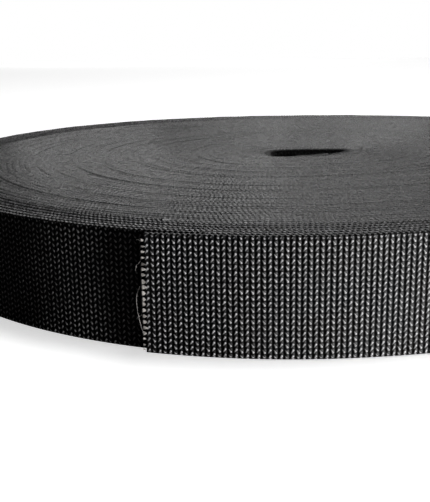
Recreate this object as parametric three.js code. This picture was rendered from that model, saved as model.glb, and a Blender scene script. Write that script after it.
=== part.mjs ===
import * as THREE from 'three';

// Roll of black webbing lying on its flat side, with the loose end of its outermost turn.
// Millimetres, +Z up. The roll's axis is Z and the cut end of the webbing faces -Y.

// Webbing
const WEB_WIDTH = 25;
const WEB_THICK = 1.75;
const TURN_PITCH = 1.8;
const EDGE_ROUND = 0.5;

// Slot left in the middle, where the first turn was folded round nothing.
// It is a long tear shape, wide at its left end and narrow at its right end.
const SLOT_REACH = 9.2;
const SLOT_SIDE = 1.0;
const SLOT_ROUND = 2.2;
const SLOT_SKEW = 1.1;
const SLOT_TURN = THREE.MathUtils.degToRad(4.6);

// Wound form. WIND_DEPTH is the depth of webbing between the slot and the outer face at the cut end.
// The turns stack up a little unevenly, which leaves the outline with an oval and a three-sided swell.
const WIND_DEPTH = 105.55;
const OVAL_RISE = 0.45;
const SWELL_RISE = 1.5;
const SWELL_TURN = THREE.MathUtils.degToRad(14.9);

// Loose end: the cut end's direction from the slot, how far round the last turn counts as loose,
// and how far its free tip stands off the roll at the floor and at the top
const CUT_ANGLE = THREE.MathUtils.degToRad(250.4);
const LOOSE_SPAN = THREE.MathUtils.degToRad(80);
const FREE_SPAN = THREE.MathUtils.degToRad(11);
const STAND_FLOOR = 0.3;
const STAND_TOP = 1.0;

// Gap between the two pieces, and the width of the ramp where the loose end joins its turn
const PIECE_GAP = 0.3;
const RAMP_WIDTH = 0.4;

// Steps along the two pieces
const ROLL_STEPS = 132;
const LOOSE_STEPS = 30;

// Top face of the wound form from the outer face to the slot: how far in from the outer face,
// and how far the turns there lie below the highest ones
const TOP_BANDS = [
  { inward: 6.0, drop: 0.0 },
  { inward: 10.5, drop: 0.0 },
  { inward: 13.0, drop: 0.3 },
  { inward: 34.0, drop: 0.3 },
  { inward: 38.0, drop: 0.0 },
  { inward: 66.0, drop: 0.0 },
  { inward: 71.0, drop: 0.4 },
  { inward: 88.0, drop: 0.4 },
  { inward: 95.0, drop: 0.1 },
  { inward: 103.0, drop: 0.5 },
];

// Rings that divide the flat underside, how far in from the outer face
const UNDERSIDE_RINGS = [35, 75];

const WEBBING_BLACK = 0x17181a;
const WEBBING_ROUGHNESS = 0.6;

const TAU = Math.PI * 2;

// Distance from the centre to the tangent line whose normal points at `angle`, for the curve that
// lies `depth` of webbing outside the slot, and the change of that distance with the angle
function support(angle, depth) {
  const turned = angle - SLOT_TURN;
  const lean = SLOT_REACH * Math.cos(turned) - SLOT_SKEW;
  const reach = Math.hypot(lean, SLOT_SIDE);
  const grown = (depth / WIND_DEPTH) ** 2;
  const ovalPhase = 2 * turned;
  const swellPhase = 3 * (turned - SWELL_TURN);
  const distance = reach + SLOT_ROUND + SLOT_SKEW * Math.cos(turned) + depth
    + grown * (OVAL_RISE * Math.cos(ovalPhase) + SWELL_RISE * Math.cos(swellPhase));
  const change = -lean * SLOT_REACH * Math.sin(turned) / reach
    - SLOT_SKEW * Math.sin(turned)
    - grown * (2 * OVAL_RISE * Math.sin(ovalPhase) + 3 * SWELL_RISE * Math.sin(swellPhase));
  return { distance, change };
}

// Point of that curve where its outward normal points at `angle`
function curvePoint(angle, depth, height) {
  const { distance, change } = support(angle, depth);
  const x = distance * Math.cos(angle) - change * Math.sin(angle);
  const y = distance * Math.sin(angle) + change * Math.cos(angle);
  return new THREE.Vector3(x, y, height);
}

// Depth of webbing at the outer face of the spiral, `passed` round from the cut end
function outerDepth(passed) {
  return WIND_DEPTH - TURN_PITCH * passed / TAU;
}

// Closed mesh from sections of equal point count, each a loop. A ring of sections closes on itself,
// and a strip gets a flat cap at each end.
function loft(sections, closed) {
  const count = sections[0].length;
  const positions = sections.flat().flatMap((point) => point.toArray());
  const index = [];
  const bands = closed ? sections.length : sections.length - 1;
  for (let band = 0; band < bands; band += 1) {
    const near = band * count;
    const far = ((band + 1) % sections.length) * count;
    for (let side = 0; side < count; side += 1) {
      const next = (side + 1) % count;
      index.push(near + side, far + side, far + next);
      index.push(near + side, far + next, near + next);
    }
  }
  if (!closed) {
    const last = (sections.length - 1) * count;
    for (let side = 1; side < count - 1; side += 1) {
      index.push(0, side, side + 1);
      index.push(last, last + side + 1, last + side);
    }
  }
  const geometry = new THREE.BufferGeometry();
  geometry.setAttribute('position', new THREE.Float32BufferAttribute(positions, 3));
  geometry.setIndex(index);
  geometry.computeVertexNormals();
  return geometry;
}

// Section of the wound form at one station: outer face, banded top face, slot wall, flat underside
function rollSection(passed) {
  const angle = CUT_ANGLE + passed;
  const outer = outerDepth(passed);
  const top = TOP_BANDS.map(({ inward, drop }) => (
    curvePoint(angle, WIND_DEPTH - inward, WEB_WIDTH - drop)
  ));
  const underside = UNDERSIDE_RINGS.map((inward) => curvePoint(angle, WIND_DEPTH - inward, 0));
  const slotTop = WEB_WIDTH - TOP_BANDS[TOP_BANDS.length - 1].drop - EDGE_ROUND;
  return [
    curvePoint(angle, outer - EDGE_ROUND, 0),
    curvePoint(angle, outer, EDGE_ROUND),
    curvePoint(angle, outer, WEB_WIDTH - EDGE_ROUND),
    curvePoint(angle, outer - EDGE_ROUND, WEB_WIDTH),
    ...top,
    curvePoint(angle, 0, slotTop),
    curvePoint(angle, 0, 0),
    ...underside.reverse(),
  ];
}

// The wound form runs once round as a spiral, from where the loose end joins to one turn later
function woundRoll() {
  const rampAngle = RAMP_WIDTH / WIND_DEPTH;
  const sweep = TAU - rampAngle;
  const sections = [];
  for (let step = 0; step <= ROLL_STEPS; step += 1) {
    sections.push(rollSection(LOOSE_SPAN + sweep * step / ROLL_STEPS));
  }
  return loft(sections, true);
}

// How far the loose end stands off the roll, at its distance from the cut end and its height
function standOff(passed, height) {
  const left = Math.max(0, 1 - passed / FREE_SPAN);
  const tip = STAND_FLOOR + (STAND_TOP - STAND_FLOOR) * height / WEB_WIDTH;
  return tip * left ** 2;
}

// Section of the loose end: the webbing's flat rectangle with its corners taken off
function looseSection(passed) {
  const angle = CUT_ANGLE + passed;
  const inner = outerDepth(passed) - TURN_PITCH + PIECE_GAP;
  const outer = inner + WEB_THICK;
  const corners = [
    { depth: inner + EDGE_ROUND, height: 0 },
    { depth: outer - EDGE_ROUND, height: 0 },
    { depth: outer, height: EDGE_ROUND },
    { depth: outer, height: WEB_WIDTH - EDGE_ROUND },
    { depth: outer - EDGE_ROUND, height: WEB_WIDTH },
    { depth: inner + EDGE_ROUND, height: WEB_WIDTH },
    { depth: inner, height: WEB_WIDTH - EDGE_ROUND },
    { depth: inner, height: EDGE_ROUND },
  ];
  return corners.map(({ depth, height }) => (
    curvePoint(angle, depth + standOff(passed, height), height)
  ));
}

function looseEnd() {
  const joint = LOOSE_SPAN - (RAMP_WIDTH + PIECE_GAP) / WIND_DEPTH;
  const sections = [];
  for (let step = 0; step <= LOOSE_STEPS; step += 1) {
    sections.push(looseSection(joint * step / LOOSE_STEPS));
  }
  return loft(sections, false);
}

function piece(name, geometry) {
  const material = new THREE.MeshStandardMaterial({
    color: WEBBING_BLACK,
    roughness: WEBBING_ROUGHNESS,
    metalness: 0,
  });
  const mesh = new THREE.Mesh(geometry, material);
  mesh.name = name;
  return mesh;
}

const roll = new THREE.Group();
roll.add(piece('wound_roll', woundRoll()));
roll.add(piece('loose_end', looseEnd()));

// The origin is the middle of the part's box, on the floor
const middle = new THREE.Box3().setFromObject(roll).getCenter(new THREE.Vector3());
for (const mesh of roll.children) {
  mesh.position.set(-middle.x, -middle.y, 0);
}

export default roll;
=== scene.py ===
"""Roll of black nylon webbing lying on its side, with the loose end of its last turn in front.

Everything is in metres in the part's own frame, +Z up. The roll is one strip: a spiral of about
58 turns round an open slot. A place on the strip is given by its length from the cut end and by the
height across the webbing.
"""

import logging
import math
from dataclasses import dataclass, field
from enum import Enum
from functools import reduce

import bpy
import numpy as np
from mathutils import Matrix, Vector


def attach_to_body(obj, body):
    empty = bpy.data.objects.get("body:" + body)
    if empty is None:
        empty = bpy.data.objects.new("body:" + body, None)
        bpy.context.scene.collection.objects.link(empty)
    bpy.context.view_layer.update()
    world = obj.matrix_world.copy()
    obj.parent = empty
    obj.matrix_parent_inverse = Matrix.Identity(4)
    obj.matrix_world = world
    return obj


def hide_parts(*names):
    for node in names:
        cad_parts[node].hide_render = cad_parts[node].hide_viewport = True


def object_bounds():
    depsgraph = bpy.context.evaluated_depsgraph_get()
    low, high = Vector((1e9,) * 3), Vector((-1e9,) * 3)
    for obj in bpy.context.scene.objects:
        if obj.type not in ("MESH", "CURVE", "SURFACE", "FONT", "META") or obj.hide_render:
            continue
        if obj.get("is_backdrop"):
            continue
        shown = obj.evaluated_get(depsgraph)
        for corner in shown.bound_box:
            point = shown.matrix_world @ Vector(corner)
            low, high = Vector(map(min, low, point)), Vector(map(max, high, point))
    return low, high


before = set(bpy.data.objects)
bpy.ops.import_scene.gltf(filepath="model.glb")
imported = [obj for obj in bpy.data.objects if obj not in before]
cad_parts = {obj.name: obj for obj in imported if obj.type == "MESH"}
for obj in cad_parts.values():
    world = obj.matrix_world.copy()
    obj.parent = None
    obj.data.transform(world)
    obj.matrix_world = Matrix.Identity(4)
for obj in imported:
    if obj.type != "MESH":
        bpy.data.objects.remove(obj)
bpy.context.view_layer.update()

MM = 0.001
TAU = 2.0 * math.pi
BODY = "root"
UV_MAP = "weave"
NOISE_KNOTS = 4099

FLOAT = "NodeSocketFloat"
VECTOR = "NodeSocketVector"

Socket = bpy.types.NodeSocket
Pair = tuple[float, float]
Place = tuple[float, float, float]
Colour = tuple[float, float, float, float]

log = logging.getLogger("webbing_roll")


class Slot(Enum):
    """Material slots of the record."""

    ROLL = "webbing"
    END = "webbing_end"


class Node(Enum):
    """Solids of the part."""

    ROLL = "wound_roll"
    END = "loose_end"


# Shape of the strip and of the roll


@dataclass(frozen=True)
class Webbing:
    """Sizes of the strip, in metres, and how far the loops of its edge lean over its thickness."""

    width: float = 25.0 * MM
    thick: float = 1.75 * MM
    turn_pitch: float = 1.8 * MM
    pick: float = 1.10 * MM
    bead: float = 1.21 * MM
    loop_skew: float = 0.35


@dataclass(frozen=True)
class Hollow:
    """A shallow place in the roll's top, where the turns' upper edges lie lower."""

    middle: Pair
    reach: Pair
    drop: float

    def depth(self, x: np.ndarray, y: np.ndarray) -> np.ndarray:
        """How much lower the edges lie: the drop times exp(-u^2 - v^4).

        Args:
            x: places from the slot's centre.
            y: the same across the slot.

        Returns:
            The drop at each place, with u and v its distances from the middle over the reaches.
        """
        u = (x - self.middle[0]) / self.reach[0]
        v = (y - self.middle[1]) / self.reach[1]
        return self.drop * np.exp(-(u**2) - v**4)


@dataclass(frozen=True)
class RollForm:
    """The wound form: parallel curves round a slot, growing outwards by one turn pitch per turn.

    The distance from the slot's centre to the tangent whose normal points at an angle is the slot's
    own distance, plus the depth of webbing, plus an oval and a three-sided swell that grow with the
    square of the depth. The slot is a long tear shape, wide at its left end.
    """

    web: Webbing = field(default_factory=Webbing)
    slot_reach: float = 9.2 * MM
    slot_side: float = 1.0 * MM
    slot_round: float = 2.2 * MM
    slot_skew: float = 1.1 * MM
    slot_turn: float = math.radians(4.6)
    wind_depth: float = 105.55 * MM
    oval_rise: float = 0.45 * MM
    swell_rise: float = 1.5 * MM
    swell_turn: float = math.radians(14.9)
    tucked_turns: float = 0.46
    hollows: tuple[Hollow, ...] = (
        Hollow((-8.3 * MM, -3.5 * MM), (4.0 * MM, 4.5 * MM), 1.7 * MM),
        Hollow((2.0 * MM, -4.5 * MM), (9.0 * MM, 4.5 * MM), 0.9 * MM),
    )
    cut_angle: float = math.radians(250.4)
    loose_span: float = math.radians(80.0)
    free_span: float = math.radians(11.0)
    stand_floor: float = 0.3 * MM
    stand_top: float = 1.0 * MM
    cut_slant: float = 0.5 * MM
    slant_reach: float = 14.0 * MM

    def place(self, passed: np.ndarray, depth: np.ndarray) -> tuple[np.ndarray, np.ndarray]:
        """Points whose outward normal lies `passed` round from the cut end.

        With h the distance to the tangent and h' its change with the angle, the point is
        h times the normal plus h' times the direction a quarter turn on.

        Args:
            passed: angle from the cut end, in radians.
            depth: depth of webbing outside the slot.

        Returns:
            x and y from the slot's centre.
        """
        angle = self.cut_angle + passed
        turned = angle - self.slot_turn
        lean = self.slot_reach * np.cos(turned) - self.slot_skew
        reach = np.hypot(lean, self.slot_side)
        grown = (depth / self.wind_depth) ** 2
        swell = 3.0 * (turned - self.swell_turn)
        dist = reach + self.slot_round + self.slot_skew * np.cos(turned) + depth
        dist = dist + grown * (self.oval_rise * np.cos(2.0 * turned) + self.swell_rise * np.cos(swell))
        change = -lean * self.slot_reach * np.sin(turned) / reach - self.slot_skew * np.sin(turned)
        change = change - grown * (
            2.0 * self.oval_rise * np.sin(2.0 * turned) + 3.0 * self.swell_rise * np.sin(swell)
        )
        return (
            dist * np.cos(angle) - change * np.sin(angle),
            dist * np.sin(angle) + change * np.cos(angle),
        )

    def outer_depth(self, passed: np.ndarray) -> np.ndarray:
        """Depth of webbing at the outer face of the turn, one turn pitch less per turn inwards."""
        return self.wind_depth - self.web.turn_pitch * passed / TAU

    def stand_off(self, passed: np.ndarray, height: np.ndarray) -> np.ndarray:
        """How far the free tip stands off the roll, falling with the square of the way to the roll."""
        left = np.clip(1.0 - passed / self.free_span, 0.0, 1.0)
        tip = self.stand_floor + (self.stand_top - self.stand_floor) * height / self.web.width
        return tip * left**2

    def sunk(self, x: np.ndarray, y: np.ndarray) -> np.ndarray:
        """How far the turns' upper edges lie lower beside the slot, the hollows' sum."""
        return sum(hollow.depth(x, y) for hollow in self.hollows)

    def cut_shift(self, along: np.ndarray, height: np.ndarray) -> np.ndarray:
        """How far the webbing near the cut lies further on at its upper edge than at its foot."""
        left = np.clip(1.0 - along / self.slant_reach, 0.0, 1.0)
        return self.cut_slant * left * height / self.web.width

    def turns(self) -> float:
        """Turns between the cut end and the start of the strip at the slot."""
        return (self.wind_depth - self.web.turn_pitch) / self.web.turn_pitch + self.tucked_turns


class Strip:
    """Table that turns a length along the strip into the angle passed from the cut end."""

    STEP = math.radians(0.5)
    SINK_POWER = 6

    def __init__(self, form: RollForm) -> None:
        """Measures the strip's middle line by adding up its short chords."""
        self.form = form
        self.angles = np.arange(0.0, form.turns() * TAU, self.STEP)
        depth = form.outer_depth(self.angles) - form.web.thick / 2.0
        x, y = form.place(self.angles, depth)
        chords = np.hypot(np.diff(x), np.diff(y))
        self.lengths = np.concatenate([[0.0], np.cumsum(chords)])
        self.x_mid, self.y_mid = self._middle()

    def _middle(self) -> Pair:
        """Slot centre in the part's frame: the box's middle is the frame's origin."""
        once = np.arange(0.0, TAU, self.STEP)
        x, y = self.form.place(once, self.form.outer_depth(once))
        low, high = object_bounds()
        return (
            (low.x + high.x) / 2.0 - (x.min() + x.max()) / 2.0,
            (low.y + high.y) / 2.0 - (y.min() + y.max()) / 2.0,
        )

    def passed_at(self, length: np.ndarray) -> np.ndarray:
        """Angle passed at a length from the cut end."""
        return np.interp(length, self.lengths, self.angles)

    def length_at(self, passed: float) -> float:
        """Length from the cut end at an angle passed."""
        return float(np.interp(passed, self.angles, self.lengths))

    def points(self, passed: np.ndarray, depth: np.ndarray, height: np.ndarray) -> np.ndarray:
        """Points in the part's frame.

        Near the slot they sink with the sixth power of their height over the webbing's width.

        Args:
            passed: angle from the cut end.
            depth: depth of webbing outside the slot.
            height: height across the webbing.

        Returns:
            An array with x, y and z last.
        """
        x, y = self.form.place(passed, depth)
        height = np.broadcast_to(height, x.shape)
        share = np.clip(height / self.form.web.width, 0.0, 1.0) ** self.SINK_POWER
        height = height - self.form.sunk(x, y) * share
        return np.stack([x + self.x_mid, y + self.y_mid, height], axis=-1)


def smooth_noise(where: np.ndarray, spacing: float, seed: int) -> np.ndarray:
    """Seeded noise from -1 to 1: random values at even knots, joined by a cosine ease.

    Args:
        where: positions in metres.
        spacing: distance between two knots.
        seed: seed of the knots' values.

    Returns:
        One value for each position.
    """
    knots = np.random.default_rng(seed).uniform(-1.0, 1.0, NOISE_KNOTS)
    cell = np.floor(where / spacing)
    ease = 0.5 - 0.5 * np.cos(math.pi * (where / spacing - cell))
    first = np.mod(cell.astype(np.int64), knots.size)
    second = np.mod(first + 1, knots.size)
    return knots[first] * (1.0 - ease) + knots[second] * ease


@dataclass(frozen=True)
class PlainWeave:
    """Relief of the woven face.

    Where a yarn floats over a pick it stands out as a bead. The beads of one pick are stacked across
    the webbing. Each bead is a ridge over a slanted ellipse, flat along its middle, which leans one
    way in even picks and the other way in odd ones. The surface is the highest bead at each point.
    """

    web: Webbing = field(default_factory=Webbing)
    rise: float = 0.25 * MM
    half_long: float = 0.72 * MM
    half_short: float = 0.40 * MM
    round_share: float = 0.35
    lean: float = math.radians(57.0)
    wander: float = 0.04 * MM
    wander_row: float = 12.9898
    wander_column: float = 78.233
    floor: float = -0.55

    def height(self, along: np.ndarray, across: np.ndarray) -> np.ndarray:
        """Height of the woven face over its own base.

        Args:
            along: length from the cut end.
            across: height across the webbing, of a shape that goes with the lengths.

        Returns:
            Heights, at most the rise.
        """
        pick, bead = self.web.pick, self.web.bead
        best = np.full(np.broadcast(along, across).shape, self.floor)
        for parity in (0.0, 1.0):
            column = 2.0 * np.round((along / pick - parity) / 2.0) + parity
            local = along - column * pick
            row = np.floor(across / bead)
            for step in (-1.0, 0.0, 1.0):
                phase = (row + step) * self.wander_row + column * self.wander_column
                middle = (row + step + 0.5) * bead + self.wander * np.sin(phase)
                best = np.maximum(best, self._bead(local, across - middle, 1.0 - 2.0 * parity))
        return self.rise * best

    def _bead(self, local: np.ndarray, side: np.ndarray, lean_way: float) -> np.ndarray:
        """One bead's height over its rise, in its own slanted axes.

        With u along the ridge and v across it, each over its half size, and a the round share, it is
        1 - a u^2 - (1 - a) u^4 - v^2.

        Args:
            local: length from the bead's middle along the strip.
            side: height over the bead's middle.
            lean_way: 1 or -1, the way that the bead leans.

        Returns:
            The heights, at most 1.
        """
        cos, sin = math.cos(self.lean), math.sin(self.lean) * lean_way
        onward = (local * cos - side * sin) / self.half_long
        sideways = (local * sin + side * cos) / self.half_short
        flat_share = 1.0 - self.round_share
        return 1.0 - self.round_share * onward**2 - flat_share * onward**4 - sideways**2


# Meshes


def add_object(name: str, data: bpy.types.ID | None) -> bpy.types.Object:
    """Makes an object of the data and links it to the scene."""
    made = bpy.data.objects.new(name, data)
    bpy.context.scene.collection.objects.link(made)
    return made


def girth(inward: np.ndarray, height: np.ndarray, close: float) -> np.ndarray:
    """Length round a section at each of its points, counted from the floor.

    Args:
        inward: how far in each point of the section lies.
        height: height of each point.
        close: length from the last point back to the first.

    Returns:
        One length for each point, and one more for the close.
    """
    around = np.concatenate([[0.0], np.cumsum(np.hypot(np.diff(inward), np.diff(height)))])
    return np.append(around + height[0], around[-1] + height[0] + close)


def strip_faces(count: int, ring: int) -> tuple[np.ndarray, np.ndarray]:
    """Quads between neighbouring sections, and a flat cap at each end.

    Args:
        count: number of sections.
        ring: points round a section.

    Returns:
        Vertex numbers of all corners in one row, and how many corners each face has.
    """
    base = np.arange(count - 1)[:, None] * ring
    side = np.arange(ring)[None, :]
    after = (side + 1) % ring
    quads = np.stack([base + side, base + ring + side, base + ring + after, base + after], axis=-1)
    end_cap = (count - 1) * ring + np.arange(ring)[::-1]
    corners = np.concatenate([quads.ravel(), np.arange(ring), end_cap]).astype(np.int32)
    sizes = np.concatenate([np.full((count - 1) * ring, 4), [ring, ring]])
    return corners, sizes


def strip_uv(along: np.ndarray, around: np.ndarray) -> np.ndarray:
    """UV of every corner of such faces: length along the strip and length round its section.

    Args:
        along: length from the cut end at each section.
        around: length round the section at each point and once more at the close.

    Returns:
        u and v of each corner in metres, zero on the caps.
    """
    shape = (along.size - 1, around.size - 1)
    near, far = along[:-1, None], along[1:, None]
    low, high = around[None, :-1], around[None, 1:]
    corner_u = np.stack([np.broadcast_to(u, shape) for u in (near, far, far, near)], axis=-1)
    corner_v = np.stack([np.broadcast_to(v, shape) for v in (low, low, high, high)], axis=-1)
    sides = np.stack([corner_u, corner_v], axis=-1).reshape(-1, 2)
    return np.concatenate([sides, np.zeros((2 * shape[1], 2))])


def loft(
    name: str, rows: np.ndarray, along: np.ndarray, around: np.ndarray, flat: tuple[int, ...] = ()
) -> bpy.types.Object:
    """Closed strip through sections of equal point count, with a flat cap at each end.

    Args:
        name: name of the new piece.
        rows: points, shape (sections, points round a section, 3).
        along: length from the cut end at each section, for the UV map.
        around: length round the section at each point and once more at the close, for the UV map.
        flat: sides of the section that are shaded flat.

    Returns:
        The piece, linked to the scene.
    """
    count, ring = rows.shape[:2]
    corners, sizes = strip_faces(count, ring)
    mesh = bpy.data.meshes.new(name)
    mesh.vertices.add(count * ring)
    mesh.vertices.foreach_set("co", rows.astype(np.float32).ravel())
    mesh.loops.add(len(corners))
    mesh.loops.foreach_set("vertex_index", corners)
    mesh.polygons.add(len(sizes))
    starts = np.concatenate([[0], np.cumsum(sizes)[:-1]]).astype(np.int32)
    mesh.polygons.foreach_set("loop_start", starts)
    layer = mesh.uv_layers.new(name=UV_MAP)
    layer.uv.foreach_set("vector", strip_uv(along, around).astype(np.float32).ravel())
    soft = ~np.isin(np.arange(ring), flat)
    smooth = np.concatenate([np.tile(soft, count - 1), [False, False]])
    mesh.polygons.foreach_set("use_smooth", smooth)
    mesh.update(calc_edges=True)
    mesh.validate()
    return add_object(name, mesh)


def tube_faces(sections: int, ring: int, first: int) -> list[list[int]]:
    """Faces of a closed tube: quads between its sections, and a cap at each end.

    Args:
        sections: number of sections.
        ring: points round a section.
        first: number of the tube's first vertex.

    Returns:
        Vertex numbers of each face.
    """
    side = np.arange(ring)
    after = (side + 1) % ring
    base = (np.arange(sections - 1) * ring)[:, None]
    quads = np.stack([base + side, base + after, base + ring + after, base + ring + side], axis=-1)
    faces = (quads.reshape(-1, 4) + first).tolist()
    faces.append((side[::-1] + first).tolist())
    faces.append((side + first + (sections - 1) * ring).tolist())
    return faces


def attach(
    piece: bpy.types.Object, nodes: tuple[Node, ...], material: bpy.types.Material
) -> bpy.types.Object:
    """Dresses a piece, makes it ride on the body and stand for its solids.

    Args:
        piece: the new piece.
        nodes: the solids that it stands for.
        material: its finish.

    Returns:
        The same piece.
    """
    piece.data.materials.append(material)
    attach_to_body(piece, BODY)
    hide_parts(*[node.value for node in nodes])
    log.info("%s: %d faces", piece.name, len(piece.data.polygons))
    return piece


# Materials


class Tree:
    """Short ways to add and join shader nodes in one node tree."""

    def __init__(self, tree: bpy.types.NodeTree) -> None:
        """Keeps the tree that the nodes go into."""
        self.tree = tree

    def node(self, kind: str, **settings: object) -> bpy.types.Node:
        """Adds a node and sets its properties."""
        made = self.tree.nodes.new(kind)
        for key, value in settings.items():
            setattr(made, key, value)
        return made

    def feed(self, socket: Socket, value: object) -> None:
        """Links an output to a socket, or sets the socket's own value."""
        if isinstance(value, Socket):
            self.tree.links.new(value, socket)
        else:
            socket.default_value = value

    def fed(self, kind: str, *values: object, **settings: object) -> Socket:
        """Adds a node, feeds its first inputs in their order and returns its first output."""
        made = self.node(kind, **settings)
        for socket, value in zip(made.inputs, values):
            self.feed(socket, value)
        return made.outputs[0]

    def math(self, operation: str, *values: object) -> Socket:
        """Adds a Math node and returns its result."""
        return self.fed("ShaderNodeMath", *values, operation=operation)

    def add(self, *values: object) -> Socket:
        """Adds values up in their order."""
        return reduce(lambda left, right: self.math("ADD", left, right), values)

    def mul(self, *values: object) -> Socket:
        """Multiplies values in their order."""
        return reduce(lambda left, right: self.math("MULTIPLY", left, right), values)

    def sub(self, first: object, second: object) -> Socket:
        """Takes the second value from the first."""
        return self.math("SUBTRACT", first, second)

    def distance(self, first: Socket, second: Socket) -> Socket:
        """Root of the sum of two values' squares."""
        return self.math("SQRT", self.add(self.mul(first, first), self.mul(second, second)))

    def noise(self, vector: object, grain: float, detail: float) -> Socket:
        """Adds a Noise Texture with waves about one grain long and returns its value."""
        made = self.node("ShaderNodeTexNoise")
        self.feed(made.inputs["Vector"], vector)
        made.inputs["Scale"].default_value = 1.0 / grain
        made.inputs["Detail"].default_value = detail
        return made.outputs["Fac"]

    def remap(
        self, value: object, low: float, high: float, to_low: float = 0.0, to_high: float = 1.0
    ) -> Socket:
        """Maps one range to another, held at both ends."""
        return self.fed("ShaderNodeMapRange", value, low, high, to_low, to_high, clamp=True)

    def mix(self, amount: object, first: object, second: object) -> Socket:
        """Mixes two colours and returns the result."""
        made = self.node("ShaderNodeMix", data_type="RGBA")
        self.feed(made.inputs["Factor"], amount)
        self.feed(made.inputs[6], first)
        self.feed(made.inputs[7], second)
        return made.outputs[2]

    def bump(self, shader: bpy.types.Node, height: Socket, distance: float) -> None:
        """Adds a Bump node of full strength and links it to the shader's normal."""
        made = self.node("ShaderNodeBump")
        made.inputs["Strength"].default_value = 1.0
        made.inputs["Distance"].default_value = distance
        self.feed(made.inputs["Height"], height)
        self.feed(shader.inputs["Normal"], made.outputs["Normal"])


def new_group(
    name: str, inputs: tuple[tuple[str, str], ...], outputs: tuple[tuple[str, str], ...]
) -> tuple[bpy.types.NodeTree, Tree, bpy.types.Node, bpy.types.Node]:
    """Starts a shader node group with named sockets.

    Args:
        name: the group's name.
        inputs: name and socket type of each input.
        outputs: name and socket type of each output.

    Returns:
        The group, its Tree, its input node and its output node.
    """
    group = bpy.data.node_groups.new(name, "ShaderNodeTree")
    for label, kind in inputs:
        group.interface.new_socket(label, in_out="INPUT", socket_type=kind)
    for label, kind in outputs:
        group.interface.new_socket(label, in_out="OUTPUT", socket_type=kind)
    tree = Tree(group)
    return group, tree, tree.node("NodeGroupInput"), tree.node("NodeGroupOutput")


def new_material(name: str) -> tuple[bpy.types.Material, Tree, bpy.types.Node]:
    """Starts a node material and gives it, its Tree and its Principled shader."""
    material = bpy.data.materials.new(name)
    material.use_nodes = True
    return material, Tree(material.node_tree), material.node_tree.nodes["Principled BSDF"]


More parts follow.
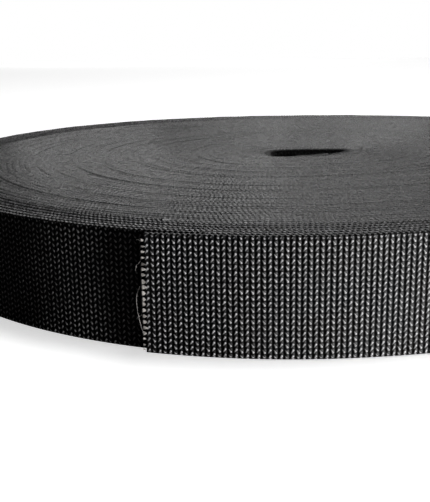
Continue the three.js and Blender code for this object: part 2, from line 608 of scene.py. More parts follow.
@dataclass(frozen=True)
class YarnDetail:
    """Fine filaments of the yarns and the loops of the selvedge, as a node group.

    In: Along and Across, in metres on the strip. Out: Height, in metres, Grey, from 0 to 1, Edge,
    which is 1 on the selvedge, and Glint, the mask of painted highlights: a pale drop with a tail
    where a yarn floats, and a pale dot on each loop of the edge. The drops lie on the beads of the
    weave, and their tails lead up in even picks and down in odd ones.
    """

    web: Webbing = field(default_factory=Webbing)
    rib: float = 0.17 * MM
    rib_depth: float = 0.008 * MM
    rib_on_edge: float = 0.25
    lean: float = 0.50
    loop_depth: float = 0.08 * MM
    fuzz_depth: float = 0.012 * MM
    fuzz_grain: float = 0.2 * MM
    grey_grain: float = 1.3 * MM

    # Painted highlight on each bead: a pale drop with a tail, in place of the filaments' glint.
    drop_right: float = 0.15 * MM
    drop_down: float = 0.28 * MM
    drop_radius: float = 0.20 * MM
    tail_radius: float = 0.05 * MM
    tail_left: float = 0.36 * MM
    tail_up: float = 0.58 * MM
    tail_tone: float = 0.5
    soft: float = 0.04 * MM
    jitter: float = 0.16 * MM
    jitter_grain: float = 0.9 * MM
    jitter_range: Pair = (0.2, 0.8)
    patch_grain: float = 0.55 * MM
    patch_range: Pair = (0.32, 0.62)
    patch_low: float = 0.45
    glint_depth: float = 0.03 * MM

    # Painted highlight on the selvedge: a pale dot on each loop, dimmer in the inner turns.
    edge_shift: float = 0.20
    edge_drop: float = 0.27 * MM
    edge_squeeze: Pair = (0.5, 0.4)
    edge_reach: Pair = (1.2, 5.0)
    edge_inner: float = 0.35
    edge_grain: float = 0.8 * MM
    edge_range: Pair = (0.38, 0.62)
    edge_low: float = 0.15
    edge_start: Pair = (0.32 * MM, 0.22 * MM)
    edge_stop: Pair = (0.2 * MM, 0.3 * MM)

    def glint(self, tree: Tree, local: Socket, across: Socket, sign: Socket, place: Socket) -> Socket:
        """Adds the nodes of a painted highlight: a drop and its tail, a capsule that thins along the
        tail.

        Args:
            tree: tree of the group.
            local: length from the middle of the pick.
            across: height across the webbing.
            sign: 1 in even picks and -1 in odd ones.
            place: coordinates for the noise.

        Returns:
            The mask, from 0 to 1.
        """
        reach = math.hypot(self.tail_left, self.tail_up)
        left, up = self.tail_left / reach, self.tail_up / reach
        rows = tree.math("FRACT", tree.math("DIVIDE", across, self.web.bead))
        side = tree.mul(tree.sub(rows, 0.5), self.web.bead)
        shake = tree.remap(tree.noise(place, self.jitter_grain, 1.0), *self.jitter_range, -0.5, 0.5)
        side = tree.mul(tree.add(side, tree.mul(shake, self.jitter)), sign)
        side = tree.add(side, self.drop_down)
        from_drop = tree.sub(local, self.drop_right)
        along_tail = tree.sub(tree.mul(side, up), tree.mul(from_drop, left))
        off_tail = tree.add(tree.mul(side, left), tree.mul(from_drop, up))
        held = tree.math("MAXIMUM", tree.math("MINIMUM", along_tail, reach), 0.0)
        radius = tree.remap(held, 0.0, reach, self.drop_radius, self.tail_radius)
        inside = tree.sub(radius, tree.distance(tree.sub(along_tail, held), off_tail))
        mask = tree.remap(inside, -self.soft, self.soft)
        faded = tree.remap(held, 0.0, reach, 1.0, self.tail_tone)
        patchy = tree.remap(tree.noise(place, self.patch_grain, 2.0), *self.patch_range, self.patch_low)
        return tree.mul(mask, faded, patchy)

    def edge_glint(self, tree: Tree, along: Socket, across: Socket, place: Socket) -> Socket:
        """Adds the nodes of a painted highlight on each selvedge loop: a pale dot, dimmer in inner
        turns.

        Args:
            tree: tree of the group.
            along: length from the cut end.
            across: length round the section.
            place: coordinates for the noise.

        Returns:
            The mask, from 0 to 1.
        """
        web = self.web
        skewed = tree.sub(tree.add(along, tree.mul(across, web.loop_skew)), web.loop_skew * web.width)
        cells = tree.add(tree.math("DIVIDE", skewed, web.pick), 0.5 - self.edge_shift)
        onward = tree.mul(tree.sub(tree.math("FRACT", cells), 0.5), self.edge_squeeze[0] * web.pick)
        sideways = tree.mul(tree.sub(across, web.width + web.thick / 2.0), self.edge_squeeze[1])
        off_middle = tree.distance(onward, sideways)
        mask = tree.remap(off_middle, 0.5 * self.edge_drop, self.edge_drop, 1.0, 0.0)
        outer = tree.remap(along, *self.edge_reach, 1.0, self.edge_inner)
        patchy = tree.remap(tree.noise(place, self.edge_grain, 2.0), *self.edge_range, self.edge_low)
        return tree.mul(mask, outer, patchy)

    def edge_mask(self, tree: Tree, across: Socket) -> Socket:
        """Adds the nodes of the mask that is 1 on the selvedge."""
        top, far_side = self.web.width, self.web.width + self.web.thick
        begun = tree.remap(across, top - self.edge_start[0], top - self.edge_start[1])
        left = tree.remap(across, far_side - self.edge_stop[0], far_side + self.edge_stop[1], 1.0, 0.0)
        return tree.mul(begun, left)

    def ribs(self, tree: Tree, local: Socket, across: Socket, sign: Socket) -> Socket:
        """Adds the nodes of the filaments: a sine across them, slanted by the pick's sign."""
        slant = tree.mul(local, self.lean, sign)
        phase = tree.mul(tree.sub(across, slant), TAU / self.rib)
        return tree.mul(tree.math("SINE", phase), self.rib_depth)

    def loops(self, tree: Tree, along: Socket, across: Socket, mask: Socket) -> Socket:
        """Adds the nodes of the selvedge's loops: a cosine with one wave to each pick."""
        skewed = tree.add(along, tree.mul(across, self.web.loop_skew))
        wave = tree.math("COSINE", tree.mul(skewed, TAU / self.web.pick))
        return tree.mul(wave, mask, self.loop_depth / 2.0)

    def build(self) -> bpy.types.NodeTree:
        """Makes the group: slanted ribs that turn the other way at each pick, loops on the edge."""
        group, tree, given, result = new_group(
            "yarn_detail",
            (("Along", FLOAT), ("Across", FLOAT)),
            (("Height", FLOAT), ("Grey", FLOAT), ("Edge", FLOAT), ("Glint", FLOAT)),
        )
        along, across = given.outputs["Along"], given.outputs["Across"]
        column = tree.math("ROUND", tree.math("DIVIDE", along, self.web.pick))
        local = tree.sub(along, tree.mul(column, self.web.pick))
        sign = tree.sub(1.0, tree.mul(tree.math("PINGPONG", column, 1.0), 2.0))
        place = tree.fed("ShaderNodeCombineXYZ", along, across, column)
        mask = self.edge_mask(tree, across)
        kept = tree.remap(mask, 0.0, 1.0, 1.0, self.rib_on_edge)
        ribs = tree.mul(self.ribs(tree, local, across, sign), kept)
        fuzz = tree.mul(tree.noise(place, self.fuzz_grain, 3.0), self.fuzz_depth)
        loops = self.loops(tree, along, across, mask)
        # Painted highlights: pale drops on the face and pale dots on the edge loops, as one glint mask.
        glint = tree.mul(self.glint(tree, local, across, sign, place), tree.sub(1.0, mask))
        on_edge = tree.mul(self.edge_glint(tree, along, across, place), mask)
        height = tree.add(ribs, fuzz, loops, tree.mul(glint, self.glint_depth))
        tree.feed(result.inputs["Edge"], mask)
        tree.feed(result.inputs["Glint"], tree.add(glint, on_edge))
        tree.feed(result.inputs["Height"], height)
        tree.feed(result.inputs["Grey"], tree.noise(place, self.grey_grain, 2.0))
        return group


@dataclass(frozen=True)
class DyeAndDust:
    """Slow drift of the black dye and a little pale lint, as a node group in Object coordinates."""

    drift: float = 9.0 * MM
    lint: float = 1.1 * MM
    lint_range: Pair = (0.74, 0.82)

    def build(self) -> bpy.types.NodeTree:
        """Makes the group. Out: Drift, from 0 to 1, and Lint, a mask of small specks."""
        group, tree, given, result = new_group(
            "dye_and_dust", (("Place", VECTOR),), (("Drift", FLOAT), ("Lint", FLOAT))
        )
        place = given.outputs["Place"]
        tree.feed(result.inputs["Drift"], tree.noise(place, self.drift, 3.0))
        specks = tree.noise(place, self.lint, 1.0)
        tree.feed(result.inputs["Lint"], tree.remap(specks, *self.lint_range))
        return group


@dataclass(frozen=True)
class BlackNylon:
    """Finish of the webbing: dyed black filament yarn with a soft gloss, and painted highlights."""

    name: str
    warm: Colour = (0.0026, 0.0020, 0.0018, 1.0)
    cool: Colour = (0.0018, 0.0022, 0.0027, 1.0)
    lint: Colour = (0.06, 0.057, 0.055, 1.0)
    # Colour of the painted highlights on the beads and on the edge loops.
    pale: Colour = (0.35, 0.345, 0.35, 1.0)
    drift_range: Pair = (0.35, 0.65)
    lint_share: float = 0.5
    grey_range: Pair = (0.3, 0.7)
    rough_low: float = 0.22
    rough_high: float = 0.32
    rough_face: float = 0.40
    specular: float = 0.18

    def build(self, detail: bpy.types.NodeTree, dust: bpy.types.NodeTree) -> bpy.types.Material:
        """Makes the material.

        Args:
            detail: the group of yarns and selvedge.
            dust: the group of dye drift and lint.

        Returns:
            The material.
        """
        material, tree, shader = new_material(self.name)
        split = tree.node("ShaderNodeSeparateXYZ")
        tree.feed(split.inputs[0], tree.node("ShaderNodeUVMap", uv_map=UV_MAP).outputs["UV"])
        yarns = tree.node("ShaderNodeGroup", node_tree=detail)
        tree.feed(yarns.inputs["Along"], split.outputs["X"])
        tree.feed(yarns.inputs["Across"], split.outputs["Y"])
        marks = tree.node("ShaderNodeGroup", node_tree=dust)
        tree.feed(marks.inputs["Place"], tree.node("ShaderNodeTexCoord").outputs["Object"])
        dye = tree.mix(tree.remap(marks.outputs["Drift"], *self.drift_range), self.warm, self.cool)
        dusty = tree.mix(tree.mul(marks.outputs["Lint"], self.lint_share), dye, self.lint)
        # Painted highlights: the glint mask mixes the pale colour over the dye and lint.
        tree.feed(shader.inputs["Base Color"], tree.mix(yarns.outputs["Glint"], dusty, self.pale))
        rough = tree.remap(yarns.outputs["Grey"], *self.grey_range, self.rough_low, self.rough_high)
        on_edge = tree.mul(rough, yarns.outputs["Edge"])
        on_face = tree.remap(yarns.outputs["Edge"], 0.0, 1.0, self.rough_face, 0.0)
        tree.feed(shader.inputs["Roughness"], tree.add(on_edge, on_face))
        shader.inputs["Specular IOR Level"].default_value = self.specular
        tree.bump(shader, yarns.outputs["Height"], 1.0)
        return material


CLOTH = BlackNylon("black_nylon")
END_CLOTH = BlackNylon("black_nylon_end")
# The slot's lining: a copy of the black finish whose dye is painted much lighter, which is painted
# light on the lining inside the slot. Its painted highlights are dimmer and it is rougher.
SLOT_CLOTH_PAINTED_LIGHT = BlackNylon(
    "black_nylon_slot_painted_light",
    warm=(0.052, 0.051, 0.050, 1.0),
    cool=(0.050, 0.051, 0.052, 1.0),
    pale=(0.15, 0.15, 0.15, 1.0),
    rough_face=0.7,
    rough_low=0.5,
    rough_high=0.6,
)


@dataclass(frozen=True)
class MeltedNylon:
    """Finish of the heat-sealed cut: yarn ends melted to greyish wedges with a soft gloss."""

    name: str = "melted_nylon"
    dark: Colour = (0.075, 0.070, 0.066, 1.0)
    pale: Colour = (0.40, 0.38, 0.36, 1.0)
    patch_grain: float = 1.5 * MM
    patch_range: Pair = (0.33, 0.62)
    roughness: float = 0.42
    melt_grain: float = 0.35 * MM
    melt_depth: float = 0.05 * MM

    def build(self) -> bpy.types.Material:
        """Makes the material: pale and dark patches by a fine noise, with a wavy melted bump."""
        material, tree, shader = new_material(self.name)
        place = tree.node("ShaderNodeTexCoord").outputs["Object"]
        patches = tree.remap(tree.noise(place, self.patch_grain, 3.0), *self.patch_range)
        tree.feed(shader.inputs["Base Color"], tree.mix(patches, self.dark, self.pale))
        shader.inputs["Roughness"].default_value = self.roughness
        tree.bump(shader, tree.noise(place, self.melt_grain, 3.0), self.melt_depth)
        return material


# Pieces of the roll


@dataclass
class WovenStretch:
    """A stretch of the strip with its whole weave as relief on the face that shows.

    Near a loose cut end the weave is melted flat, and the cut runs a little askew.
    """

    strip: Strip
    name: str
    start: float
    end: float
    weave: PlainWeave = field(default_factory=PlainWeave)
    per_pick: int = 5
    per_bead: int = 5
    loose: bool = False
    faces_slot: bool = False
    edge_rise: float = 0.42 * MM

    FOOT = 0.45 * MM
    HEAD = 0.42 * MM
    BACK_EDGE = 0.6 * MM
    EDGE_STEPS = 9
    PROUD = 0.1 * MM
    CLOSE = 0.5 * MM
    MELT_LENGTH = 2.4 * MM
    MELT_DROP = 0.12 * MM
    LOOP_LIFT = 0.10 * MM
    DRIFT = 0.06 * MM
    DRIFT_SPACING = 6.0 * MM
    DRIFT_SEED = 11

    def section(self) -> tuple[np.ndarray, np.ndarray, np.ndarray, np.ndarray]:
        """Points round the strip's section, from the foot of its outer face.

        Returns:
            How far in from the outer face, height, weight of the weave and weight of the edge
            loops at each point.
        """
        web, half = self.weave.web, self.weave.web.thick / 2.0
        face = np.arange(self.FOOT, web.width - self.HEAD, web.bead / self.per_bead)
        arc = np.linspace(0.0, math.pi, self.EDGE_STEPS)[1:-1]
        edge_in = half - half * np.cos(arc)
        edge_up = self.edge_rise * np.sin(arc)
        back = [web.width - self.BACK_EDGE, web.width / 2.0, self.BACK_EDGE]
        inward = np.concatenate([np.zeros(face.size), edge_in, [web.thick] * 3, edge_in[::-1][::2]])
        height = np.concatenate(
            [face, web.width - self.edge_rise + edge_up, back, (self.edge_rise - edge_up)[::2]]
        )
        weight = np.concatenate([np.ones(face.size), np.zeros(inward.size - face.size)])
        loops = np.zeros(inward.size)
        loops[face.size:face.size + edge_in.size] = np.sin(arc)
        return inward, height, weight, loops

    def first(self) -> float:
        """Length at the pick that the stretch starts with."""
        return round(self.start / self.weave.web.pick) * self.weave.web.pick

    def stations(self) -> np.ndarray:
        """Lengths of the sections, from the middle between two picks to another such middle."""
        pick = self.weave.web.pick
        first, last = self.first(), round(self.end / pick) * pick
        count = int(round((last - first) / pick * self.per_pick)) + 1
        return np.linspace(first, last, count) + pick / 2.0

    def relief(self, along: np.ndarray, across: np.ndarray) -> np.ndarray:
        """Height of the face, counted from the tops of the beads and melted flat near a loose cut.

        Args:
            along: length from the cut end.
            across: height across the webbing.

        Returns:
            Heights, zero or less.
        """
        relief = self.weave.height(along, across) - self.weave.rise
        if self.loose:
            sound = np.clip((along - self.first()) / self.MELT_LENGTH, 0.0, 1.0) ** 2
            relief = relief * sound - self.MELT_DROP * (1.0 - sound)
        return relief

    def edge_lift(self, along: np.ndarray, inward: np.ndarray, loops: np.ndarray) -> np.ndarray:
        """How much higher the upper edge lies: a cosine with one wave to each pick, and slow noise.

        Args:
            along: length from the cut end at each section.
            inward: how far in each point of the section lies.
            loops: weight of the edge loops at each point.

        Returns:
            The lifts, shape (sections, points round a section).
        """
        web = self.weave.web
        wave = np.cos(TAU * (along[:, None] + web.loop_skew * inward[None, :]) / web.pick)
        drift = smooth_noise(along, self.DRIFT_SPACING, self.DRIFT_SEED)[:, None]
        return (self.LOOP_LIFT * wave + self.DRIFT * drift) * loops[None, :]

    def build(self) -> bpy.types.Object:
        """Makes the stretch: the roll's outer face plus the weave's height, carried along the strip."""
        form, along = self.strip.form, self.stations()
        inward, height, weight, loops = self.section()
        onward, across = along[:, None], height[None, :]
        askew = form.cut_shift(onward, across) if self.loose else 0.0
        passed = self.strip.passed_at(onward + askew)
        depth = self.relief(onward, across) * weight[None, :] - inward[None, :] + self.PROUD
        if self.faces_slot:
            depth = -self.weave.web.thick - depth
        depth = form.outer_depth(passed) + depth
        if self.loose:
            depth = depth + form.stand_off(passed, across)
        level = across + self.edge_lift(along, inward, loops)
        rows = self.strip.points(np.broadcast_to(passed, depth.shape), depth, level)
        around = girth(inward, height, self.CLOSE)
        if self.faces_slot:
            rows, around = rows[:, ::-1], np.append(around[-2::-1], 0.0)
        return loft(self.name, rows, along, around)


@dataclass
class PlainStretch:
    """Many inner turns as one smooth strip, of which only the upper edges show.

    The profile gives how far in and how high each point of the section lies, in millimetres. The
    groove scales how far the edge's sides fall below its crest.
    """

    strip: Strip
    name: str
    start: float
    end: float
    spacing: float
    loop_height: float = 0.0
    groove: float = 1.0

    PROFILE = (
        (0.0, 0.5),
        (0.0, 24.73),
        (0.13, 24.78),
        (0.89, 24.80),
        (1.65, 24.78),
        (1.78, 24.73),
        (1.78, 0.5),
        (0.86, 0.0),
    )
    FLAT_SIDES = (0, 5, 6, 7)
    CREST = 24.8 * MM
    EDGE_FOOT = 24.0 * MM
    CROWN_RISE = 0.86 * MM
    OVERLAP = 0.06
    SET_BACK = 0.07 * MM
    RAISED = 0.045 * MM
    CLOSE = 1.0 * MM
    ANGLE_STEP = math.radians(4.0)
    FINE_STEP = 0.25 * MM
    SLOW_DRIFT = 0.03 * MM
    SLOW_SPACING = 230.0 * MM
    QUICK_DRIFT = 0.03 * MM
    QUICK_SPACING = 19.0 * MM
    SIDE_DRIFT = 0.03 * MM
    SIDE_SPACING = 60.0 * MM
    WEAVE_DRIFT = 3.0 * MM
    WEAVE_SPACING = 170.0 * MM
    SEED = 3

    def stations(self) -> np.ndarray:
        """Lengths of the sections: even along the strip, and closer where the turns are tight."""
        fine = np.arange(self.start, self.end, self.FINE_STEP)
        passed = self.strip.passed_at(fine)
        density = np.maximum(1.0 / self.spacing, np.gradient(passed, fine) / self.ANGLE_STEP)
        total = np.concatenate([[0.0], np.cumsum((density[1:] + density[:-1]) * np.diff(fine) / 2.0)])
        count = int(total[-1]) + 1
        return np.interp(np.linspace(0.0, total[-1], count), total, fine)

    def section(self) -> tuple[np.ndarray, np.ndarray]:
        """How far in and how high each point of the profile lies, with the groove's share."""
        inward, height = np.array(self.PROFILE).T * MM
        inward = inward * (1.0 + self.OVERLAP * max(1.0 - self.groove, 0.0))
        grooved = self.CREST - self.groove * (self.CREST - height)
        return inward, np.where(height > self.EDGE_FOOT, grooved, height)

    def build(self) -> bpy.types.Object:
        """Makes the turns: one profile carried along the spiral, its height and place drifting."""
        form, web, along = self.strip.form, self.strip.form.web, self.stations()
        inward, height = self.section()
        crown = np.clip((height - self.EDGE_FOOT) / self.CROWN_RISE, 0.0, 1.0)
        upward = np.clip(height / web.width, 0.0, 1.0)
        passed = self.strip.passed_at(along)[:, None]
        lift = self.SLOW_DRIFT * smooth_noise(along, self.SLOW_SPACING, self.SEED)
        lift = lift + self.QUICK_DRIFT * smooth_noise(along, self.QUICK_SPACING, self.SEED + 1)
        shift = self.SIDE_DRIFT * self.groove * smooth_noise(along, self.SIDE_SPACING, self.SEED + 2)
        woven = along + self.WEAVE_DRIFT * smooth_noise(along, self.WEAVE_SPACING, self.SEED + 3)
        wave = np.cos(TAU * (woven[:, None] + web.loop_skew * inward[None, :]) / web.pick)
        level = height[None, :] + (lift + self.RAISED)[:, None] * upward
        level = level + self.loop_height * wave * crown[None, :]
        depth = form.outer_depth(passed) - inward[None, :] + shift[:, None] - self.SET_BACK
        rows = self.strip.points(np.broadcast_to(passed, depth.shape), depth, level)
        return loft(self.name, rows, woven, girth(inward, height, self.CLOSE), self.FLAT_SIDES)


@dataclass
class CutSeal:
    """Melted wedges along the heat-sealed cut, one to each row of beads, with a few loose filaments.

    A table gives the wedges' length and width from the foot of the cut to its top: small at the
    foot, wide in the middle, thin near the top. The filaments are broken lines of length from the
    cut, height and distance out, in millimetres.
    """

    strip: Strip
    name: str = "sealed_cut"
    length: float = 1.75 * MM
    half_width: float = 0.52 * MM
    rise: float = 0.30 * MM
    steps: int = 7
    ring: int = 8
    filament: float = 0.025 * MM

    SEED = 17
    ROW_MIDDLE = 0.55
    SHAKE = 0.12
    LENGTHS = (0.7, 1.15)
    WIDTHS = (0.8, 1.1)
    RISES = (0.6, 1.2)
    TAPER_POWER = 0.8
    TIP = 0.03
    BEYOND = 0.12 * MM
    SUNK = 0.15 * MM
    MARGINS = (0.05 * MM, 0.1 * MM)
    STRAY_SIDES = 5
    STRAY_STEPS = 6
    SMOOTHING = 5

    GROWTH = (
        (0.0, 0.35, 0.5),
        (0.12, 0.5, 0.6),
        (0.2, 1.0, 1.0),
        (0.6, 1.0, 1.05),
        (0.8, 1.1, 0.6),
        (1.0, 1.2, 0.7),
    )
    STRAYS = (
        ((-0.1, 14.6, 0.5), (-1.0, 12.2, 0.9), (-0.8, 9.0, 0.8), (-0.3, 5.6, 0.3), (0.3, 3.8, 0.1)),
        ((0.1, 19.5, 0.4), (-0.7, 18.7, 0.8), (-1.1, 17.3, 0.6)),
        ((0.0, 8.4, 0.4), (-0.5, 8.0, 1.0), (-0.9, 7.7, 1.3)),
        ((0.2, 23.6, 0.3), (-0.4, 23.9, 0.6), (-1.2, 23.8, 0.8)),
    )

    def build(self) -> bpy.types.Object:
        """Makes the wedges and the stray filaments as one piece of closed tapering tubes."""
        points, faces, count = [], [], 0
        for tube in self.wedges() + [self.stray(path) for path in self.STRAYS]:
            faces.extend(tube_faces(*tube.shape[:2], count))
            points.append(tube.reshape(-1, 3))
            count += len(points[-1])
        mesh = bpy.data.meshes.new(self.name)
        mesh.from_pydata(np.concatenate(points).tolist(), [], faces)
        mesh.polygons.foreach_set("use_smooth", np.ones(len(mesh.polygons), bool))
        mesh.update()
        return add_object(self.name, mesh)

    def wedges(self) -> list[np.ndarray]:
        """Points of the wedges: elliptic sections that narrow along the strip.

        With t from 0 to 1 along a wedge, its section is scaled by (1 - t)^0.8 + 0.03.

        Returns:
            One array for each wedge, shape (sections, points round a section, 3).
        """
        web = self.strip.form.web
        rows = int(web.width / web.bead)
        rng = np.random.default_rng(self.SEED)
        shake = rng.uniform(-self.SHAKE, self.SHAKE, rows) * MM
        middle = (np.arange(rows) + self.ROW_MIDDLE) * web.bead + shake
        table = np.array(self.GROWTH)
        longer = np.interp(middle / web.width, table[:, 0], table[:, 1])
        wider = np.interp(middle / web.width, table[:, 0], table[:, 2])
        reach = self.length * longer * rng.uniform(*self.LENGTHS, rows)
        wide = self.half_width * wider * rng.uniform(*self.WIDTHS, rows)
        tall = self.rise * rng.uniform(*self.RISES, rows)
        t = np.linspace(0.0, 1.0, self.steps)
        a = np.linspace(0.0, TAU, self.ring, endpoint=False)
        taper = (1.0 - t) ** self.TAPER_POWER + self.TIP
        along = -self.BEYOND + reach[:, None, None] * t[None, :, None] + 0.0 * a
        side = wide[:, None, None] * taper[None, :, None] * np.cos(a)[None, None, :]
        up = tall[:, None, None] * taper[None, :, None] * np.sin(a)[None, None, :]
        height = np.clip(middle[:, None, None] + side, self.MARGINS[0], web.width - self.MARGINS[1])
        return list(self.on_strip(along, height, up - self.SUNK))

    def stray(self, path: tuple[Place, ...]) -> np.ndarray:
        """Points of one filament: a thin tube along a broken line, smoothed by a running mean.

        Args:
            path: corners of the line.

        Returns:
            Points, shape (sections, points round a section, 3).
        """
        a = np.linspace(0.0, TAU, self.STRAY_SIDES, endpoint=False)
        knots = np.array(path) * MM
        where = np.linspace(0.0, len(path) - 1.0, self.STRAY_STEPS * len(path))
        line = np.stack([np.interp(where, np.arange(len(path)), knots[:, axis]) for axis in range(3)])
        kernel = np.ones(self.SMOOTHING) / self.SMOOTHING
        half = self.SMOOTHING // 2
        padded = np.pad(line, ((0, 0), (half, half)), mode="edge")
        line = np.stack([np.convolve(row, kernel, mode="valid") for row in padded])
        along = line[0][:, None] + self.filament * np.cos(a)[None, :]
        out = line[2][:, None] + self.filament * np.sin(a)[None, :]
        height = np.broadcast_to(line[1][:, None], along.shape)
        return self.on_strip(along, height, out)[:, ::-1]

    def on_strip(self, along: np.ndarray, height: np.ndarray, out: np.ndarray) -> np.ndarray:
        """Points near the cut, in the part's frame.

        Args:
            along: length from the cut, negative beyond it.
            height: height across the webbing.
            out: distance out from the webbing's outer face.

        Returns:
            Points, with x, y and z last.
        """
        form = self.strip.form
        passed = (along + form.cut_shift(np.maximum(along, 0.0), height)) / form.wind_depth
        stand = form.stand_off(np.maximum(passed, 0.0), height)
        return self.strip.points(passed, form.outer_depth(passed) + out + stand, height)


# Studio


@dataclass(frozen=True)
class Lamp:
    """A soft rectangular lamp aimed at a point, by default at the middle of the roll."""

    name: str
    place: Place
    size: Pair
    power: float
    aim: Place = (0.0, 0.0, 0.02)

    def build(self) -> None:
        """Adds the lamp to the scene."""
        data = bpy.data.lights.new(self.name, "AREA")
        data.shape = "RECTANGLE"
        data.size, data.size_y = self.size
        data.energy = self.power
        lamp = add_object(self.name, data)
        lamp.location = self.place
        direction = Vector([aim - place for place, aim in zip(self.place, self.aim)])
        lamp.rotation_mode = "QUATERNION"
        lamp.rotation_quaternion = direction.to_track_quat("-Z", "Y")
        lamp.visible_camera = False


@dataclass(frozen=True)
class Studio:
    """Pale floor, white surround, soft lamps and the camera."""

    focal_pixels: float = 862.39
    long_side_pixels: float = 502.0
    sensor: float = 36.0
    clip: Pair = (0.01, 100.0)
    pitch: float = math.radians(14.828)
    roll: float = math.radians(-0.975)
    eye_height: float = 64.03 * MM
    slot_right: float = 28.97 * MM
    slot_ahead: float = 267.66 * MM
    floor_half: float = 1.25
    floor_lift: float = 0.62
    floor_seen: Colour = (0.93, 0.93, 0.93, 1.0)
    floor_thrown: Colour = (0.04, 0.04, 0.04, 1.0)
    surround_dim: float = 0.01
    lamps: tuple[Lamp, ...] = (
        Lamp("key_right", (1.17, -0.78, 0.013), (0.45, 0.018), 56.0, (0.0, -0.05, 0.013)),
        Lamp("fill_right", (0.50, -0.95, 0.013), (0.4, 0.018), 0.8, (0.0, 0.0, 0.013)),
        Lamp("fill_wide", (0.80, -0.90, 0.42), (1.4, 0.5), 0.20, (0.0, 0.0, 0.0)),
        Lamp("over_top", (0.35, 0.05, 1.10), (0.5, 0.5), 9.0),
        Lamp("back_low_1", (-0.50, 1.30, 0.10), (0.24, 0.14), 0.08),
        Lamp("back_low_2", (-0.25, 1.30, 0.10), (0.26, 0.14), 0.18),
        Lamp("back_low_3", (0.00, 1.30, 0.08), (0.24, 0.11), 0.08),
        Lamp("back_low_4", (0.25, 1.30, 0.08), (0.24, 0.11), 0.03),
        Lamp("back_low_5", (0.55, 1.30, 0.16), (0.40, 0.20), 0.05),
        Lamp("back_high_1", (0.03, 1.30, 0.38), (0.26, 0.14), 0.22),
        Lamp("back_high_2", (0.30, 1.30, 0.38), (0.30, 0.14), 0.31),
    )

    def build_camera(self, slot: Pair) -> None:
        """Puts the camera where the photograph was taken from.

        Args:
            slot: x and y of the slot's centre.
        """
        data = bpy.data.cameras.new("camera")
        data.sensor_width = self.sensor
        data.lens = self.focal_pixels / self.long_side_pixels * self.sensor
        data.clip_start, data.clip_end = self.clip
        data.dof.use_dof = False
        camera = add_object("camera", data)
        camera.location = (slot[0] - self.slot_right, slot[1] - self.slot_ahead, self.eye_height)
        tilt = Matrix.Rotation(math.pi / 2.0 - self.pitch, 4, "X")
        turn = Matrix.Rotation(self.roll, 4, "Z")
        camera.rotation_mode = "QUATERNION"
        camera.rotation_quaternion = (tilt @ turn).to_quaternion()
        bpy.context.scene.camera = camera

    def floor_material(self) -> bpy.types.Material:
        """Pale to the eye, and dimmer in what lights the webbing."""
        material, tree, shader = new_material("pale_floor")
        nodes = material.node_tree.nodes
        nodes.remove(shader)
        seen = tree.fed("ShaderNodeBsdfDiffuse", self.floor_seen)
        lift = tree.node("ShaderNodeEmission")
        lift.inputs["Strength"].default_value = self.floor_lift
        bright = tree.fed("ShaderNodeAddShader", seen, lift.outputs[0])
        thrown = tree.fed("ShaderNodeBsdfDiffuse", self.floor_thrown)
        light = tree.node("ShaderNodeLightPath").outputs["Is Camera Ray"]
        mixed = tree.fed("ShaderNodeMixShader", light, thrown, bright)
        tree.feed(nodes["Material Output"].inputs["Surface"], mixed)
        return material

    def build_floor(self) -> None:
        """Makes the pale floor, one square."""
        half = self.floor_half
        mesh = bpy.data.meshes.new("floor")
        corners = [(-half, -half, 0.0), (half, -half, 0.0), (half, half, 0.0), (-half, half, 0.0)]
        mesh.from_pydata(corners, [], [(0, 1, 2, 3)])
        mesh.materials.append(self.floor_material())
        floor = add_object("floor", mesh)
        floor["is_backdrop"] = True

    def build_surround(self) -> None:
        """White surround to the eye, and a dim one for what lights the webbing."""
        world = bpy.data.worlds.new("surround")
        bpy.context.scene.world = world
        world.use_nodes = True
        tree = Tree(world.node_tree)
        background = world.node_tree.nodes["Background"]
        background.inputs["Color"].default_value = (1.0, 1.0, 1.0, 1.0)
        light = tree.node("ShaderNodeLightPath").outputs["Is Camera Ray"]
        strength = tree.remap(light, 0.0, 1.0, self.surround_dim, 1.0)
        tree.feed(background.inputs["Strength"], strength)

    def build(self, slot: Pair) -> None:
        """Makes the whole studio.

        Args:
            slot: x and y of the slot's centre.
        """
        self.build_camera(slot)
        self.build_floor()
        self.build_surround()
        for lamp in self.lamps:
            lamp.build()
        bpy.context.scene.view_settings.view_transform = "Standard"


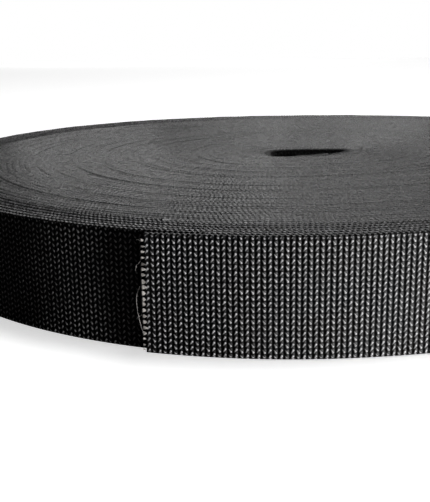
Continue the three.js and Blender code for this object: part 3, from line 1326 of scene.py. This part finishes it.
@dataclass
class WebbingRoll:
    """The whole roll: its woven outer turn, the turns under it, the loose end and its cut.

    The coarse number is how many steps each pick and each bead get away from the loose end.
    """

    strip: Strip
    rim_turns: int = 6
    rim_spacing: float = 0.275 * MM
    rim_loops: float = 0.08 * MM
    rim_groove: float = 1.1
    inner_spacing: float = 1.9 * MM
    inner_groove: float = 0.3
    outer_parts: int = 3
    coarse: int = 4
    overlap: float = math.radians(7.0)
    slot_length: float = 66.0 * MM
    slot_edge_rise: float = 0.15 * MM

    def build(self) -> None:
        """Makes, dresses and attaches every piece."""
        detail, dust = YarnDetail().build(), DyeAndDust().build()
        cloth = CLOTH.build(detail, dust)
        self.build_loose_end(END_CLOTH.build(detail, dust))
        self.build_outer_turn(cloth)
        self.build_inner_turns(cloth)
        # The slot turn wears the copy with painted light on its lining.
        self.build_slot_turn(SLOT_CLOTH_PAINTED_LIGHT.build(detail, dust))
        attach(CutSeal(self.strip).build(), (Node.END,), MeltedNylon().build())

    def add_wound(self, stretch: WovenStretch | PlainStretch, cloth: bpy.types.Material) -> None:
        """Makes a stretch of the wound strip, and dresses and attaches it."""
        attach(stretch.build(), (Node.ROLL,), cloth)

    def build_loose_end(self, cloth: bpy.types.Material) -> None:
        """The loose end, one sheet of webbing from the cut to where it counts as wound."""
        form = self.strip.form
        end = self.strip.length_at(form.loose_span)
        piece = WovenStretch(self.strip, "loose_webbing", 0.0, end, loose=True).build()
        attach(piece, (Node.END,), cloth)

    def build_outer_turn(self, cloth: bpy.types.Material) -> None:
        """The rest of the outermost turn, in stretches, and a little more of it under the tip."""
        start = self.strip.length_at(self.strip.form.loose_span)
        end = self.strip.length_at(TAU + self.overlap)
        cuts = np.linspace(start, end, self.outer_parts + 1)
        for part, (low, high) in enumerate(zip(cuts[:-1], cuts[1:]), 1):
            stretch = WovenStretch(
                self.strip, f"outer_turn_{part}", low, high, per_bead=self.coarse, per_pick=self.coarse
            )
            self.add_wound(stretch, cloth)

    def build_inner_turns(self, cloth: bpy.types.Material) -> None:
        """The turns near the rim with their edge loops as relief, and the rest of them plain."""
        start = self.strip.length_at(TAU + self.overlap)
        rim_end = self.strip.length_at(TAU * self.rim_turns)
        middle = (start + rim_end) / 2.0
        for number, (low, high) in enumerate(((start, middle), (middle, rim_end)), 1):
            name = f"rim_turns_{number}"
            stretch = PlainStretch(
                self.strip, name, low, high, self.rim_spacing, self.rim_loops, self.rim_groove
            )
            self.add_wound(stretch, cloth)
        stretch = PlainStretch(
            self.strip, "inner_turns", rim_end, self.slot_start(), self.inner_spacing,
            groove=self.inner_groove,
        )
        self.add_wound(stretch, cloth)

    def slot_start(self) -> float:
        """Length at which the turn that lines the slot begins."""
        return float(self.strip.lengths[-1]) - self.slot_length

    def build_slot_turn(self, cloth: bpy.types.Material) -> None:
        """The innermost turn, woven on the face that lines the slot."""
        end = float(self.strip.lengths[-1]) - self.strip.form.web.pick
        stretch = WovenStretch(
            self.strip, "slot_turn", self.slot_start(), end, per_bead=self.coarse,
            per_pick=self.coarse, faces_slot=True, edge_rise=self.slot_edge_rise,
        )
        self.add_wound(stretch, cloth)


def main() -> None:
    """Builds the roll and the studio."""
    logging.basicConfig(level=logging.INFO, format="%(name)s %(message)s")
    strip = Strip(RollForm())
    log.info("strip: %.2f m in %.1f turns", strip.lengths[-1], strip.form.turns())
    WebbingRoll(strip).build()
    Studio().build((strip.x_mid, strip.y_mid))


if __name__ == "__main__":
    main()
